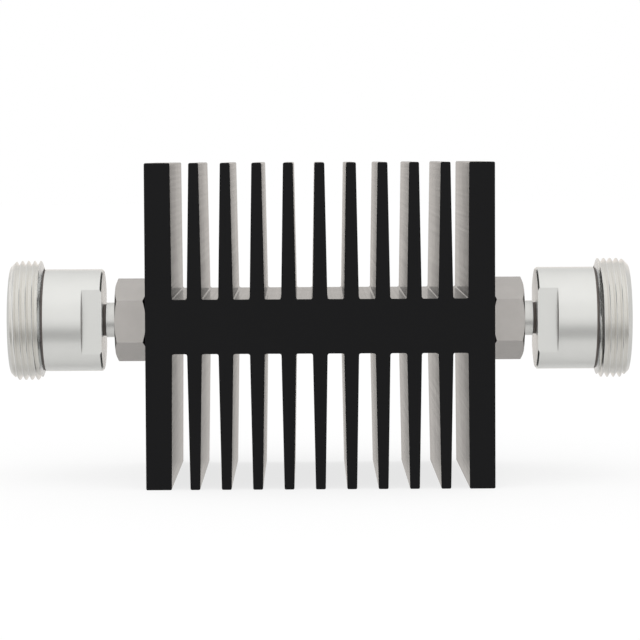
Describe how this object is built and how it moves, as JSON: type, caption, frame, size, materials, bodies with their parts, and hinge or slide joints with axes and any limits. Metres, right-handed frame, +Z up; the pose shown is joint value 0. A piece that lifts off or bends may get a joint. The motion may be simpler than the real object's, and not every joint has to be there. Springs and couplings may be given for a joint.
{
  "type": "rf attenuator",
  "caption": "Finned coaxial power attenuator: black extruded heat sink around a coaxial line, with a threaded female connector at each end.",
  "frame": {"origin": "on the coaxial line's axis, at the middle of the heat sink", "axes": "+X along the coaxial line, +Y along the extrusion from front to back, +Z up along the fins"},
  "size_m": [0.1496, 0.0636, 0.0762],
  "materials": {
    "black_anodised": "satin black anodise",
    "silver_plate": "satin plate",
    "contact_plate": "bright plate",
    "stainless": "turned and milled",
    "white_bead": "waxy white fluoroplastic",
    "bare_aluminium": "machined",
    "white_ceramic": "fired ceramic",
    "gold_plate": "plated",
    "copper": "bare strip"
  },
  "bodies": {
    "root": {"heat_sink": "black_anodised", "attenuator_card": "white_ceramic", "upper_clamp_bar": "bare_aluminium", "lower_clamp_bar": "bare_aluminium", "left_connector_shell": "silver_plate", "right_connector_shell": "silver_plate", "left_contact_ring": "silver_plate", "right_contact_ring": "silver_plate", "left_support_bead": "white_bead", "right_support_bead": "white_bead", "left_centre_contact": "contact_plate", "right_centre_contact": "contact_plate", "left_neck_bead": "white_bead", "right_neck_bead": "white_bead", "left_hex_bushing": "stainless", "right_hex_bushing": "stainless", "left_ground_sleeve": "bare_aluminium", "right_ground_sleeve": "bare_aluminium", "left_inner_rod": "gold_plate", "right_inner_rod": "gold_plate", "left_rod_bead": "white_bead", "right_rod_bead": "white_bead", "left_lead_tab": "copper", "right_lead_tab": "copper"}
  },
  "joints": []
}
